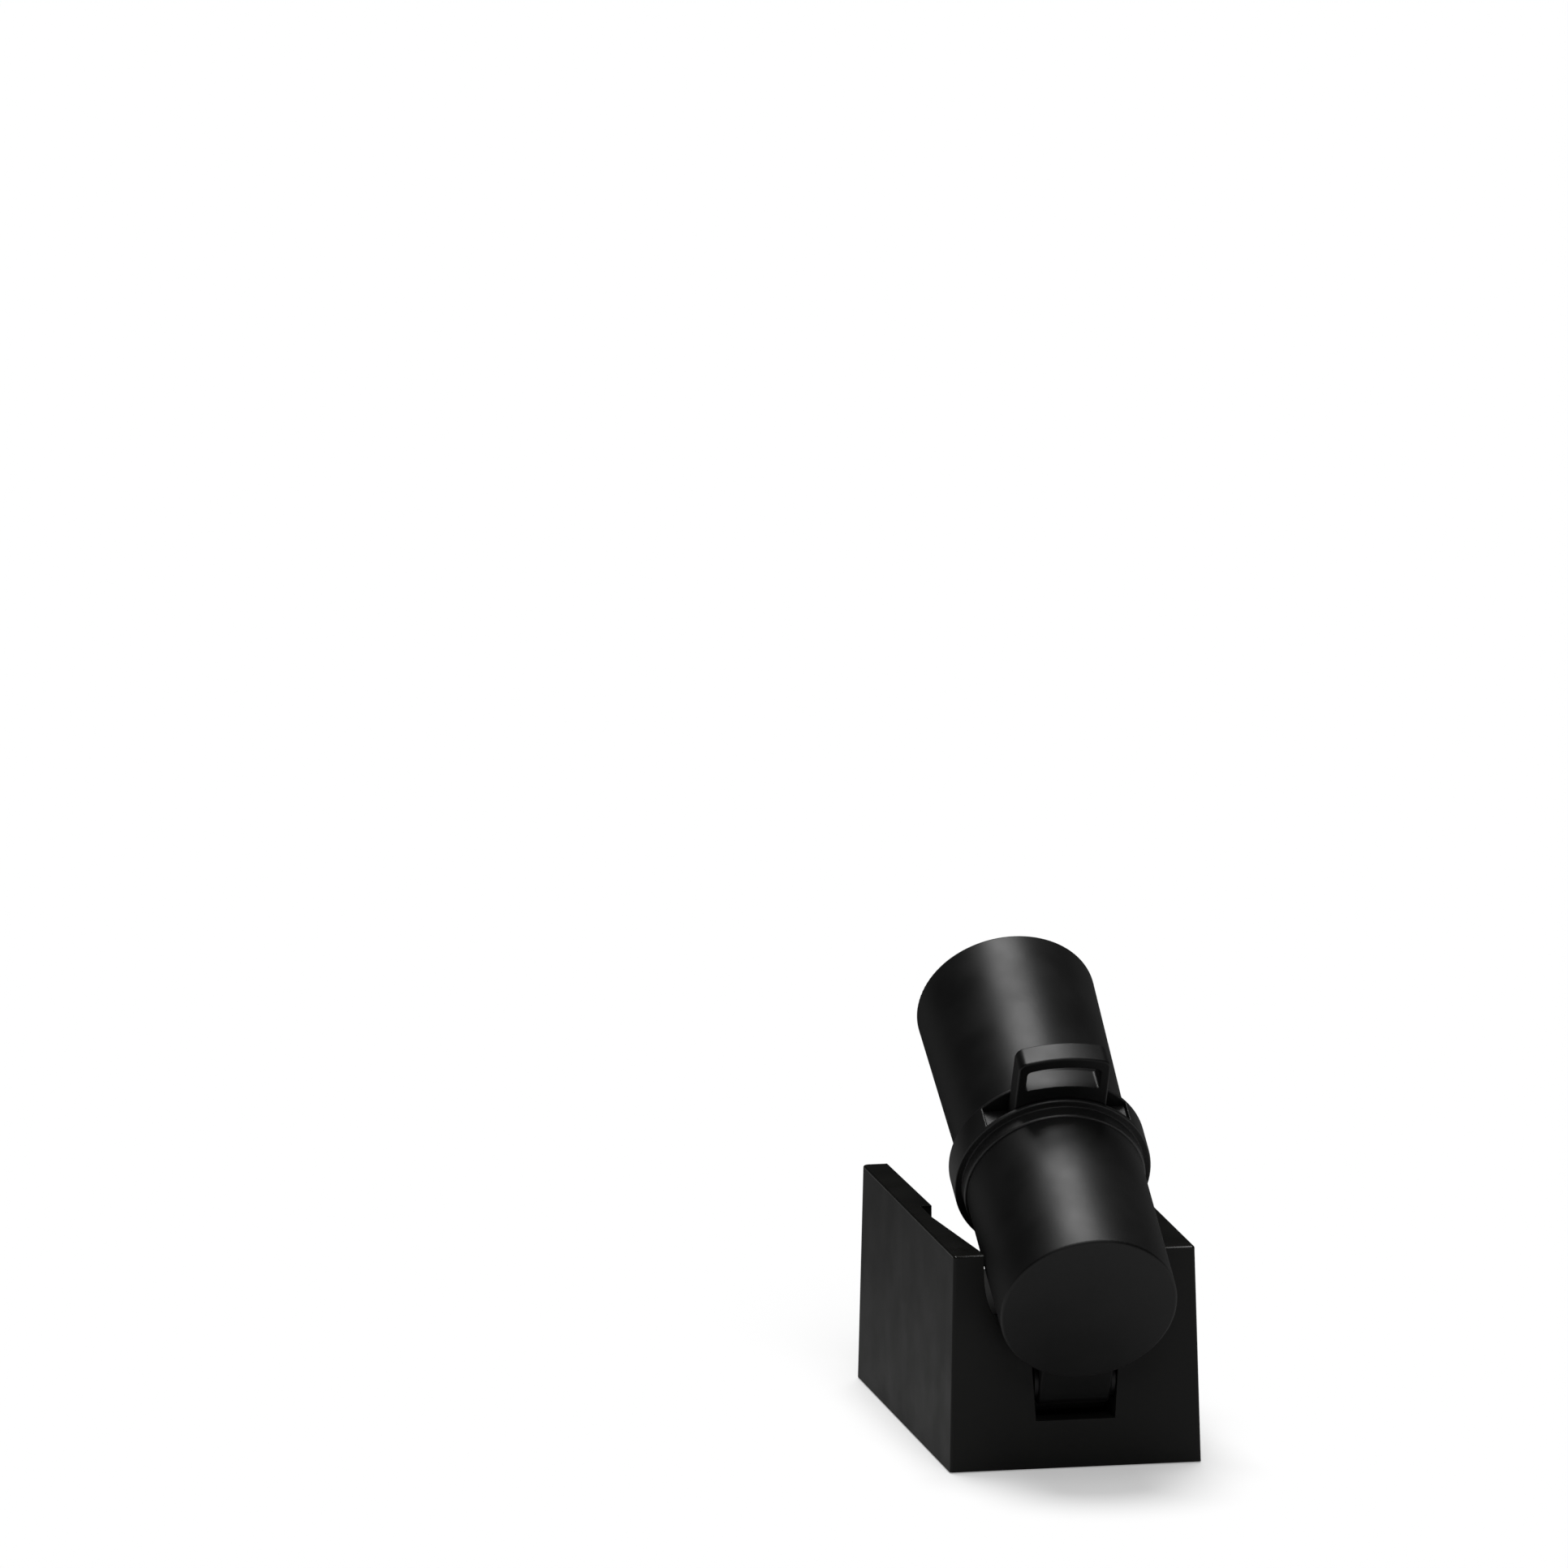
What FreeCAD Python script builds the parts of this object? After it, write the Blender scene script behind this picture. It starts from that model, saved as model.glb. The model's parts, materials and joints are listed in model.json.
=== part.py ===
import FreeCAD, Part
import math
import os

# A pocket lamp that throws a picture: a folding lens head on a moulded cradle.
# Lengths are in millimetres and angles in degrees.
# X points to the right, Y the way the light goes, Z up.
# The origin is the middle of the underside.

# Driving dimensions of the base
base_length = 77.5
base_width = 42.0
base_height = 35.9
base_draft = 0.85
front_corner_radius = 1.0
rear_corner_radius = 0.5
top_edge_radius = 0.35
end_wall = 2.2
side_wall = 2.2
deck_height = 17.2
deck_thickness = 1.9
channel_rear_half_width = 15.1
channel_front_half_width = 16.05
channel_end_wall = 4.8
cover_thickness = 1.8
cover_margin = 1.7
cover_gap = 0.15
cover_corner_radius = 1.6
boss_radius = 2.9
boss_inset_side = 5.0
boss_inset_rear = 6.6
boss_inset_front = 5.6

# Driving dimensions of the hinge
rest_tilt = 28.9
pivot_from_rear = 3.65
pivot_height = 14.4
pin_radius = 1.5
pin_running_gap = 0.05
pin_half_length = 10.4
lug_half_width = 6.0
lug_edge_radius = 0.4
lug_heel_radius = 2.0
pivot_ahead_of_disc = 6.0
pivot_below_axis = 19.5
notch_floor = 7.9
notch_half_width_low = 6.6
notch_half_width_high = 7.2
notch_front_gap = 0.9
hinge_block_wall = 2.2
hinge_block_half_width = 11.0
washer_radius = 3.3
washer_gap = 0.08

# Driving dimensions of the rear half of the head
body_radius = 14.7
body_wall = 1.5
body_rear_wall = 1.8
body_length = 31.2
rear_edge_radius = 0.5
end_wall_gap = 0.4
sweep_gap = 0.3

# Driving dimensions of the collar that takes the picture slide
step_radius = 15.1
step_length = 2.3
step_edge_radius = 0.3
collar_radius = 16.35
collar_edge_radius = 0.2
flange_thickness = 0.6
slot_width = 24.0
slot_depth = 4.5
gate_radius = 10.2
gate_web = 1.2
spigot_wall = 1.7
recess_gap = 1.15
recess_front_room = 4.65
recess_land = 8.5
recess_rear_gap = 0.57

# Driving dimensions of the focusing barrel
barrel_rear_radius = 14.15
barrel_front_radius = 14.9
barrel_length = 38.2
barrel_edge_radius = 0.4
barrel_rear_wall = 1.17
slide_fit_gap = 0.08
guide_tube_wall = 1.4
guide_tube_length = 12.8
web_from_rear = 15.8
web_thickness = 1.5
web_lip = 1.9
lens_bore_radius = 13.3

# Driving dimensions of the picture slide
holder_side_gap = 0.3
holder_face_gap = 0.15
shoulder_height = 10.5
handle_half_width = 7.7
handle_top = 24.7
handle_corner_radius = 1.2
handle_edge_radius = 0.35
loop_half_width = 6.2
loop_bottom = 18.8
loop_top = 22.8
loop_corner_radius = 0.6
picture_radius = 8.8
film_radius = 9.7
film_thickness = 0.3
film_seat_depth = 2.2
film_ring_thickness = 1.2

# Driving dimensions of the light source and lenses
fit_gap = 0.1
heat_sink_length = 7.7
heat_sink_gap = 0.4
fin_slot_count = 5
fin_slot_width = 1.4
fin_slot_depth = 4.6
fin_pitch = 4.2
led_board_radius = 8.0
led_board_thickness = 1.2
led_screw_offset = 5.6
led_screw_length = 4.0
emitter_side = 3.45
emitter_thickness = 0.7
emitter_dome_radius = 1.5
sleeve_length = 10.5
sleeve_wall = 1.4
lens_rim_thickness = 1.6
condenser_bulge = 4.5
condenser_dome_radius = 11.2
rear_lens_bulge = 1.8
lens_spacer_length = 5.0
lens_ring_length = 1.8
lens_ring_wall = 1.3
front_lens_bulge = 3.0
friction_ring_thickness = 0.8
friction_ring_from_end = 4.0

# Driving dimensions of what the base holds
cell_side_room = 3.8
cell_thickness = 8.4
cell_edge_radius = 1.2
cell_from_hinge_block = 2.0
cell_from_board = 5.6
rib_width = 1.2
rib_height = 4.0
rib_from_cell_end = 5.0
rib_gap = 0.2
board_side_room = 3.3
board_length = 17.0
board_thickness = 1.2
board_height = 5.0
board_front_gap = 0.3
post_radius = 2.1
post_from_board_side = 3.9
post_from_board_rear = 3.2
socket_from_boss = 1.13
socket_width = 8.94
socket_height = 3.2
socket_depth = 7.3
socket_shell = 0.3
socket_tongue = 0.7
socket_floor = 1.5
socket_window_gap = 0.25
button_radius = 2.2
button_gap = 0.3
button_proud = 0.9
button_flange_radius = 3.1
button_flange_thickness = 0.8
button_stem_radius = 1.2
button_stem_length = 2.0
button_travel = 0.6
switch_side = 5.2
switch_depth = 3.2
switch_plunger_radius = 1.0
switch_plunger_length = 0.6

# Screws
screw_head_radius = 2.0
screw_head_height = 1.1
screw_shank_radius = 1.0
screw_length = 7.0
screw_recess = 0.35
small_head_radius = 1.3
small_head_height = 0.8
small_shank_radius = 0.7
small_screw_length = 4.0
drive_socket_depth = 0.6
drive_socket_share = 0.45

# One overrun serves every cut, and one reach finds edges by place.
overrun = 2.0
reach = 0.02

# Places that follow from the driving dimensions
rear_face = -base_length / 2
front_face = base_length / 2
pivot = FreeCAD.Vector(0, rear_face + pivot_from_rear, pivot_height)
fold_axis_height = pivot_height + pivot_below_axis
fold_rear_disc = pivot.y - pivot_ahead_of_disc
collar_start = body_length + step_length
slot_start = collar_start + flange_thickness
slot_end = slot_start + slot_depth
collar_end = slot_end + flange_thickness
barrel_end = collar_end + barrel_length
body_bore_radius = body_radius - body_wall
guide_bore_radius = barrel_rear_radius - barrel_rear_wall
guide_tube_radius = guide_bore_radius - slide_fit_gap
guide_tube_end = collar_end + guide_tube_length
web_start = collar_end + web_from_rear
web_end = web_start + web_thickness
web_hole_radius = lens_bore_radius - web_lip
heat_sink_end = body_rear_wall + heat_sink_length
led_board_end = heat_sink_end + led_board_thickness
sleeve_end = heat_sink_end + sleeve_length
condenser_rim_end = sleeve_end + lens_rim_thickness
knuckle_radius = pivot_from_rear
cover_top = cover_thickness
room_top = deck_height - deck_thickness
board_top = board_height + board_thickness
inner_front = front_face - end_wall
hinge_block_end = pivot.y + knuckle_radius + notch_front_gap + hinge_block_wall
board_front = inner_front - board_front_gap
board_rear = board_front - board_length
room_half_width = base_width / 2 - side_wall
board_half_width = room_half_width - board_side_room
cell_half_width = room_half_width - cell_side_room
cell_rear = hinge_block_end + cell_from_hinge_block
cell_front = board_rear - cell_from_board
boss_offset = base_width / 2 - boss_inset_side
socket_offset = boss_offset - boss_radius - socket_from_boss - socket_width / 2
button_offset = socket_offset


# Shared shapes

def block(x0, x1, y0, y1, z0, z1):
    return Part.makeBox(x1 - x0, y1 - y0, z1 - z0, FreeCAD.Vector(x0, y0, z0))


def rod_x(radius, x0, x1, y, z):
    return Part.makeCylinder(radius, x1 - x0, FreeCAD.Vector(x0, y, z), FreeCAD.Vector(1, 0, 0))


def rod_y(radius, y0, y1, x=0, z=0):
    return Part.makeCylinder(radius, y1 - y0, FreeCAD.Vector(x, y0, z), FreeCAD.Vector(0, 1, 0))


def rod_z(radius, z0, z1, x, y):
    return Part.makeCylinder(radius, z1 - z0, FreeCAD.Vector(x, y, z0), FreeCAD.Vector(0, 0, 1))


def ring_y(outer, inner, y0, y1):
    return rod_y(outer, y0, y1).cut(rod_y(inner, y0 - overrun, y1 + overrun))


def turned(points, axis_height=0):
    """A solid turned about a line along Y, from (place along Y, radius) corners."""
    corners = [FreeCAD.Vector(0, y, r + axis_height) for y, r in points]
    face = Part.Face(Part.makePolygon(corners + corners[:1]))
    return face.revolve(FreeCAD.Vector(0, 0, axis_height), FreeCAD.Vector(0, 1, 0), 360)


def dome(base_y, radius, bulge):
    """The cap of a ball on a flat round face at base_y, bulging along Y by bulge."""
    tip = FreeCAD.Vector(0, base_y + bulge, 0)
    edge = FreeCAD.Vector(0, base_y, radius)
    ball = (radius ** 2 + bulge ** 2) / (2 * abs(bulge))
    half_angle = math.asin(radius / ball) / 2
    side = math.copysign(1, bulge)
    middle = FreeCAD.Vector(0, tip.y - side * ball * (1 - math.cos(half_angle)), ball * math.sin(half_angle))
    foot = FreeCAD.Vector(0, base_y, 0)
    outline = [Part.LineSegment(foot, edge), Part.Arc(edge, middle, tip), Part.LineSegment(tip, foot)]
    face = Part.Face(Part.Wire([piece.toShape() for piece in outline]))
    return face.revolve(FreeCAD.Vector(0, 0, 0), FreeCAD.Vector(0, 1, 0), 360)


def rounded_outline(half_width, y0, y1, z, rear_radius, front_radius):
    """A closed outline at height z with its four corners rounded."""
    corners = [(-half_width, y0, rear_radius), (half_width, y0, rear_radius),
               (half_width, y1, front_radius), (-half_width, y1, front_radius)]
    pieces = []
    joints = []
    quarter = math.sqrt(0.5)
    for x, y, radius in corners:
        side = math.copysign(1, x)
        end = -1 if y == y0 else 1
        centre = FreeCAD.Vector(x - side * radius, y - end * radius, z)
        on_side = centre + FreeCAD.Vector(side * radius, 0, 0)
        on_end = centre + FreeCAD.Vector(0, end * radius, 0)
        middle = centre + FreeCAD.Vector(side * radius * quarter, end * radius * quarter, 0)
        first, last = (on_side, on_end) if side * end > 0 else (on_end, on_side)
        pieces.append(Part.Arc(first, middle, last).toShape())
        joints.append((first, last))
    lines = [Part.makeLine(joints[n][1], joints[(n + 1) % 4][0]) for n in range(4)]
    return Part.Wire([edge for pair in zip(pieces, lines) for edge in pair])


def plate(half_width, y0, y1, z0, z1, radius):
    wire = rounded_outline(half_width, y0, y1, z0, radius, radius)
    return Part.Face(wire).extrude(FreeCAD.Vector(0, 0, z1 - z0))


def fillet_where(shape, radius, test):
    return shape.makeFillet(radius, [edge for edge in shape.Edges if test(edge)])


def near(value, target):
    return abs(value - target) < reach


def screw_z(x, y, head_z, head_radius, head_height, shank_radius, length):
    """A pan screw driven upwards, its head's underside at head_z."""
    head = rod_z(head_radius, head_z, head_z + head_height, x, y)
    shank = rod_z(shank_radius, head_z, head_z + length, x, y)
    drive = Part.makeBox(2 * head_radius * drive_socket_share, 2 * head_radius * drive_socket_share,
                         drive_socket_depth)
    drive.translate(FreeCAD.Vector(x - head_radius * drive_socket_share, y - head_radius * drive_socket_share,
                                   head_z))
    return head.fuse(shank).cut(drive).removeSplitter()


def in_head(shape):
    """Moves a shape from the head's own frame to its place at the rest tilt.

    In the head's own frame Y is measured from the rear disc and the lens axis is at zero height.
    """
    placed = shape.copy()
    placed.translate(FreeCAD.Vector(0, -pivot_ahead_of_disc, pivot_below_axis))
    placed.rotate(FreeCAD.Vector(0, 0, 0), FreeCAD.Vector(1, 0, 0), rest_tilt)
    placed.translate(pivot)
    return placed


# The base

def corner_bosses():
    rear_y = rear_face + boss_inset_rear
    front_y = front_face - boss_inset_front
    return [(side * boss_offset, y) for side in (-1, 1) for y in (rear_y, front_y)]


def board_posts():
    x = board_half_width - post_from_board_side
    return [(side * x, board_rear + post_from_board_rear) for side in (-1, 1)]


def cradle_block():
    """The drafted outer block, narrower and shorter at the top than at the bottom."""
    foot = rounded_outline(base_width / 2, rear_face, front_face, 0, rear_corner_radius, front_corner_radius)
    head = rounded_outline(base_width / 2 - base_draft, rear_face + base_draft, front_face - base_draft,
                           base_height, rear_corner_radius, front_corner_radius)
    block_shape = Part.makeLoft([foot, head], True, True)
    return fillet_where(block_shape, top_edge_radius, lambda edge: near(edge.BoundBox.ZMin, base_height))


def head_channel():
    """The open-fronted channel, a little wider at its front than at its rear."""
    y0 = rear_face + channel_end_wall
    y1 = front_face + overrun
    spread = (channel_front_half_width - channel_rear_half_width) / (front_face - y0)
    half_width_end = channel_front_half_width + spread * overrun
    corners = [FreeCAD.Vector(-channel_rear_half_width, y0, deck_height),
               FreeCAD.Vector(channel_rear_half_width, y0, deck_height),
               FreeCAD.Vector(half_width_end, y1, deck_height),
               FreeCAD.Vector(-half_width_end, y1, deck_height)]
    face = Part.Face(Part.makePolygon(corners + corners[:1]))
    return face.extrude(FreeCAD.Vector(0, 0, base_height - deck_height + overrun))


def collar_recess():
    """The turned recess, a long cone and a land, that takes the collar when the head is folded down."""
    cone_start = rear_face + channel_end_wall
    cone_radius = body_radius + recess_rear_gap
    land_radius = collar_radius + recess_gap
    land_end = fold_rear_disc + collar_end + recess_front_room
    land_start = land_end - recess_land
    profile = [(cone_start, 0), (cone_start, cone_radius), (land_start, land_radius),
               (land_end, land_radius), (land_end, 0)]
    return turned(profile, fold_axis_height)


def end_wall_opening():
    """The U-shaped opening in the rear wall that the head's body swings through."""
    radius = body_radius + end_wall_gap
    lowest = pivot_height + math.sqrt((pivot_below_axis - body_radius) ** 2 - pivot_from_rear ** 2)
    centre_height = lowest - sweep_gap + radius
    y0 = rear_face - overrun
    y1 = rear_face + channel_end_wall + overrun
    round_part = rod_y(radius, y0, y1, 0, centre_height)
    return round_part.fuse(block(-radius, radius, y0, y1, centre_height, base_height + overrun))


def hinge_notch():
    """The tapered notch that the hinge lug works in."""
    y0 = rear_face - overrun
    y1 = pivot.y + knuckle_radius + notch_front_gap
    top = deck_height + overrun
    slope = (notch_half_width_high - notch_half_width_low) / (deck_height - notch_floor)
    half_width_top = notch_half_width_high + slope * overrun
    corners = [FreeCAD.Vector(-notch_half_width_low, y0, notch_floor),
               FreeCAD.Vector(notch_half_width_low, y0, notch_floor),
               FreeCAD.Vector(half_width_top, y0, top),
               FreeCAD.Vector(-half_width_top, y0, top)]
    return Part.Face(Part.makePolygon(corners + corners[:1])).extrude(FreeCAD.Vector(0, y1 - y0, 0))


def lower_room():
    """The closed room under the deck, less the hinge block, the screw bosses and the board posts."""
    room = block(-room_half_width, room_half_width, rear_face + end_wall, inner_front, -overrun, room_top)
    kept = [block(-hinge_block_half_width, hinge_block_half_width, rear_face, hinge_block_end,
                  cover_top, room_top + overrun)]
    kept += [rod_z(boss_radius, cover_top, room_top + overrun, x, y) for x, y in corner_bosses()]
    kept += [rod_z(post_radius, board_top, room_top + overrun, x, y) for x, y in board_posts()]
    for piece in kept:
        room = room.cut(piece)
    return room


def socket_window():
    half = socket_width / 2 + socket_window_gap
    low = board_top - socket_window_gap
    high = board_top + socket_height + socket_window_gap
    end_radius = (high - low) / 2
    y0 = inner_front - overrun
    y1 = front_face + overrun
    ends = [rod_y(end_radius, y0, y1, socket_offset + side * (half - end_radius), low + end_radius)
            for side in (-1, 1)]
    middle = block(socket_offset - half + end_radius, socket_offset + half - end_radius, y0, y1, low, high)
    return middle.fuse(ends)


def button_height():
    return board_top + switch_side / 2


def base_shell():
    shell = cradle_block()
    cover_recess = plate(base_width / 2 - cover_margin + cover_gap, rear_face + cover_margin - cover_gap,
                         front_face - cover_margin + cover_gap, -overrun, cover_top, cover_corner_radius)
    button_hole = rod_y(button_radius + button_gap, inner_front - overrun, front_face + overrun,
                        -button_offset, button_height())
    pin_bore = rod_x(pin_radius, -pin_half_length, pin_half_length, pivot.y, pivot.z)
    for tool in (head_channel(), collar_recess(), end_wall_opening(), hinge_notch(), lower_room(),
                 cover_recess, button_hole, socket_window(), pin_bore):
        shell = shell.cut(tool)
    boss_hole_top = screw_recess + screw_length + screw_shank_radius
    for x, y in corner_bosses():
        shell = shell.cut(rod_z(screw_shank_radius, cover_top - overrun, boss_hole_top, x, y))
    for x, y in board_posts():
        post_hole_top = board_height + small_screw_length + small_shank_radius
        shell = shell.cut(rod_z(small_shank_radius, board_top - overrun, post_hole_top, x, y))
    return shell.removeSplitter()


def base_cover():
    cover = plate(base_width / 2 - cover_margin, rear_face + cover_margin, front_face - cover_margin,
                  0, cover_top, cover_corner_radius)
    for side in (-1, 1):
        inner = cell_half_width + rib_gap
        x0, x1 = sorted((side * inner, side * (inner + rib_width)))
        cover = cover.fuse(block(x0, x1, cell_rear + rib_from_cell_end, cell_front - rib_from_cell_end,
                                 0, cover_top + rib_height))
    head_room = screw_recess + screw_head_height
    for x, y in corner_bosses():
        cover = cover.cut(rod_z(screw_shank_radius + fit_gap, -overrun, cover_top + overrun, x, y))
        cover = cover.cut(rod_z(screw_head_radius + fit_gap, -overrun, head_room, x, y))
    return cover.removeSplitter()


def cover_screws():
    return Part.makeCompound([screw_z(x, y, screw_recess, screw_head_radius, screw_head_height,
                                      screw_shank_radius, screw_length) for x, y in corner_bosses()])


def battery_cell():
    cell = block(-cell_half_width, cell_half_width, cell_rear, cell_front, cover_top, cover_top + cell_thickness)
    return fillet_where(cell, cell_edge_radius,
                        lambda edge: near(edge.BoundBox.YLength, cell_front - cell_rear))


def control_board():
    """The circuit board, its front corners notched round the screw bosses."""
    board = block(-board_half_width, board_half_width, board_rear, board_front, board_height, board_top)
    for x, y in board_posts():
        board = board.cut(rod_z(small_shank_radius + fit_gap, board_height - overrun, board_top + overrun, x, y))
    room = boss_radius + rib_gap
    for x, y in corner_bosses():
        if y > board_rear:
            x0, x1 = (x - room, x + overrun) if x > 0 else (x - overrun, x + room)
            board = board.cut(block(x0, x1, y - room, front_face, board_height - overrun, board_top + overrun))
    return board


def board_screws():
    head_z = board_height - small_head_height
    return Part.makeCompound([screw_z(x, y, head_z, small_head_radius, small_head_height,
                                      small_shank_radius, small_screw_length) for x, y in board_posts()])


def socket_outline(inset, y0, y1):
    radius = socket_height / 2 - inset
    centre_z = board_top + socket_height / 2
    reach_x = socket_width / 2 - socket_height / 2
    ends = [rod_y(radius, y0, y1, socket_offset + side * reach_x, centre_z) for side in (-1, 1)]
    middle = block(socket_offset - reach_x, socket_offset + reach_x, y0, y1, centre_z - radius, centre_z + radius)
    return middle.fuse(ends)


def charging_socket():
    """An open-mouthed metal shell with a flat contact tongue on its closed rear."""
    y1 = front_face - end_wall / 2
    y0 = y1 - socket_depth
    shell = socket_outline(0, y0, y1).cut(socket_outline(socket_shell, y0 + socket_floor, y1 + overrun))
    centre_z = board_top + socket_height / 2
    tongue_half = socket_width / 2 - socket_height / 2
    tongue = block(socket_offset - tongue_half, socket_offset + tongue_half, y0, y1 - socket_floor,
                   centre_z - socket_tongue / 2, centre_z + socket_tongue / 2)
    return shell.fuse(tongue).removeSplitter()


def button_stem_end():
    return inner_front - button_flange_thickness - button_stem_length


def push_switch():
    gap = button_travel + button_gap
    y1 = button_stem_end() - gap
    body = block(-button_offset - switch_side / 2, -button_offset + switch_side / 2,
                 y1 - switch_plunger_length - switch_depth, y1 - switch_plunger_length,
                 board_top, board_top + switch_side)
    plunger = rod_y(switch_plunger_radius, y1 - switch_plunger_length - overrun, y1,
                    -button_offset, button_height())
    return body.fuse(plunger).removeSplitter()


def power_button():
    cap = rod_y(button_radius, inner_front, front_face + button_proud, -button_offset, button_height())
    cap = fillet_where(cap, button_gap, lambda edge: near(edge.BoundBox.YMin, front_face + button_proud))
    flange = rod_y(button_flange_radius, inner_front - button_flange_thickness, inner_front,
                   -button_offset, button_height())
    flange = flange.common(block(-base_width, 0, rear_face, front_face, board_top + rib_gap, room_top))
    stem = rod_y(button_stem_radius, button_stem_end(), inner_front, -button_offset, button_height())
    return cap.fuse([flange, stem]).removeSplitter()


# The hinge

def hinge_pin():
    return rod_x(pin_radius, -pin_half_length, pin_half_length, pivot.y, pivot.z)


def hinge_washers():
    share_up = (pivot_height - notch_floor) / (deck_height - notch_floor)
    wall = notch_half_width_low + share_up * (notch_half_width_high - notch_half_width_low)
    slope = (notch_half_width_high - notch_half_width_low) / (deck_height - notch_floor)
    inner = lug_half_width + washer_gap
    outer = wall - slope * washer_radius - washer_gap
    washers = []
    for side in (-1, 1):
        x0, x1 = sorted((side * inner, side * outer))
        washer = rod_x(washer_radius, x0, x1, pivot.y, pivot.z)
        washers.append(washer.cut(rod_x(pin_radius, x0 - overrun, x1 + overrun, pivot.y, pivot.z)))
    return Part.makeCompound(washers)


# The rear half of the head, in the head's own frame

def hinge_lug():
    """The tab under the body, rounded in front of the pin and with a fuller heel behind it."""
    y0 = pivot_ahead_of_disc - knuckle_radius
    y1 = pivot_ahead_of_disc + knuckle_radius
    root = -body_bore_radius
    foot = -pivot_below_axis - knuckle_radius
    lug = block(-lug_half_width, lug_half_width, y0, y1, foot, root)
    for y, radius in ((y0, lug_heel_radius), (y1, knuckle_radius)):
        lug = fillet_where(lug, radius, lambda edge: near(edge.BoundBox.ZMax, foot)
                           and near(edge.BoundBox.YMin, y) and near(edge.BoundBox.YMax, y))
    lug = fillet_where(lug, lug_edge_radius, lambda edge: near(edge.BoundBox.XLength, 0)
                       and edge.BoundBox.ZMax < root + reach and edge.BoundBox.ZLength > reach)
    bore = rod_x(pin_radius + pin_running_gap, -lug_half_width - overrun, lug_half_width + overrun,
                 pivot_ahead_of_disc, -pivot_below_axis)
    return lug.cut(bore)


def rear_shell():
    body = fillet_where(rod_y(body_radius, 0, body_length), rear_edge_radius,
                        lambda edge: near(edge.BoundBox.YMax, 0))
    shell = body.fuse(hinge_lug())
    return shell.cut(rod_y(body_bore_radius, body_rear_wall, body_length + overrun)).removeSplitter()


def heat_sink():
    sink = rod_y(body_bore_radius - heat_sink_gap, body_rear_wall, heat_sink_end)
    slots_end = body_rear_wall + fin_slot_depth
    for n in range(fin_slot_count):
        centre = (n - (fin_slot_count - 1) / 2) * fin_pitch
        sink = sink.cut(block(centre - fin_slot_width / 2, centre + fin_slot_width / 2,
                              body_rear_wall - overrun, slots_end, -body_radius, body_radius))
    for side in (-1, 1):
        hole = rod_y(small_shank_radius, led_board_end - led_screw_length, heat_sink_end + overrun,
                     0, side * led_screw_offset)
        sink = sink.cut(hole)
    return sink


def led_board():
    board = rod_y(led_board_radius, heat_sink_end, led_board_end)
    for side in (-1, 1):
        board = board.cut(rod_y(small_shank_radius + fit_gap, heat_sink_end - overrun, led_board_end + overrun,
                                0, side * led_screw_offset))
    return board


def led_screws():
    screws = []
    for side in (-1, 1):
        z = side * led_screw_offset
        head = rod_y(small_head_radius, led_board_end, led_board_end + small_head_height, 0, z)
        shank = rod_y(small_shank_radius, led_board_end - led_screw_length, led_board_end, 0, z)
        screws.append(head.fuse(shank).removeSplitter())
    return Part.makeCompound(screws)


def led_emitter():
    half = emitter_side / 2
    top = led_board_end + emitter_thickness
    base = block(-half, half, led_board_end, top, -half, half)
    ball = Part.makeSphere(emitter_dome_radius, FreeCAD.Vector(0, top, 0))
    return base.fuse(ball.common(block(-half, half, top, top + emitter_side, -half, half))).removeSplitter()


def light_sleeve():
    outer = body_bore_radius - fit_gap
    return ring_y(outer, outer - sleeve_wall, heat_sink_end, sleeve_end)


def condenser_lens():
    rim = rod_y(body_bore_radius - fit_gap, sleeve_end, condenser_rim_end)
    return rim.fuse(dome(condenser_rim_end, condenser_dome_radius, condenser_bulge)).removeSplitter()


def spigot_radius():
    return body_bore_radius - fit_gap


def collar_body():
    """The turned form of the collar, its rear spigot and its front guide tube."""
    bore = spigot_radius() - spigot_wall
    tube_bore = guide_tube_radius - guide_tube_wall
    profile = [(condenser_rim_end, bore), (condenser_rim_end, spigot_radius()),
               (body_length, spigot_radius()), (body_length, step_radius),
               (collar_start, step_radius), (collar_start, collar_radius),
               (collar_end, collar_radius), (collar_end, guide_tube_radius),
               (guide_tube_end, guide_tube_radius), (guide_tube_end, tube_bore),
               (collar_end + gate_web, tube_bore), (collar_end + gate_web, gate_radius),
               (body_length, gate_radius), (body_length, bore)]
    body = turned(profile)
    for radius, edge_radius, place in ((step_radius, step_edge_radius, body_length),
                                       (collar_radius, collar_edge_radius, collar_start),
                                       (collar_radius, collar_edge_radius, collar_end)):
        body = fillet_where(body, edge_radius, lambda edge: near(edge.BoundBox.XMax, radius)
                            and near(edge.BoundBox.YMin, place) and near(edge.BoundBox.YMax, place))
    return body


def slide_pocket():
    """The slot across the top of the collar, with a round floor for the slide to stand in."""
    half = slot_width / 2
    top = collar_radius + overrun
    return rod_y(half, slot_start, slot_end).fuse(block(-half, half, slot_start, slot_end, 0, top))


def friction_ring_centre():
    return guide_tube_end - friction_ring_from_end


def collar_frame():
    groove_bottom = guide_tube_radius - friction_ring_thickness
    half = friction_ring_thickness / 2 + fit_gap
    groove = ring_y(guide_tube_radius + overrun, groove_bottom, friction_ring_centre() - half,
                    friction_ring_centre() + half)
    return collar_body().cut(slide_pocket()).cut(groove)


def friction_ring():
    section = friction_ring_thickness / 2
    return Part.makeTorus(guide_tube_radius - section, section, FreeCAD.Vector(0, friction_ring_centre(), 0),
                          FreeCAD.Vector(0, 1, 0))


# The picture slide, in the head's own frame

def slide_faces():
    return slot_start + holder_face_gap, slot_end - holder_face_gap


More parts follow.
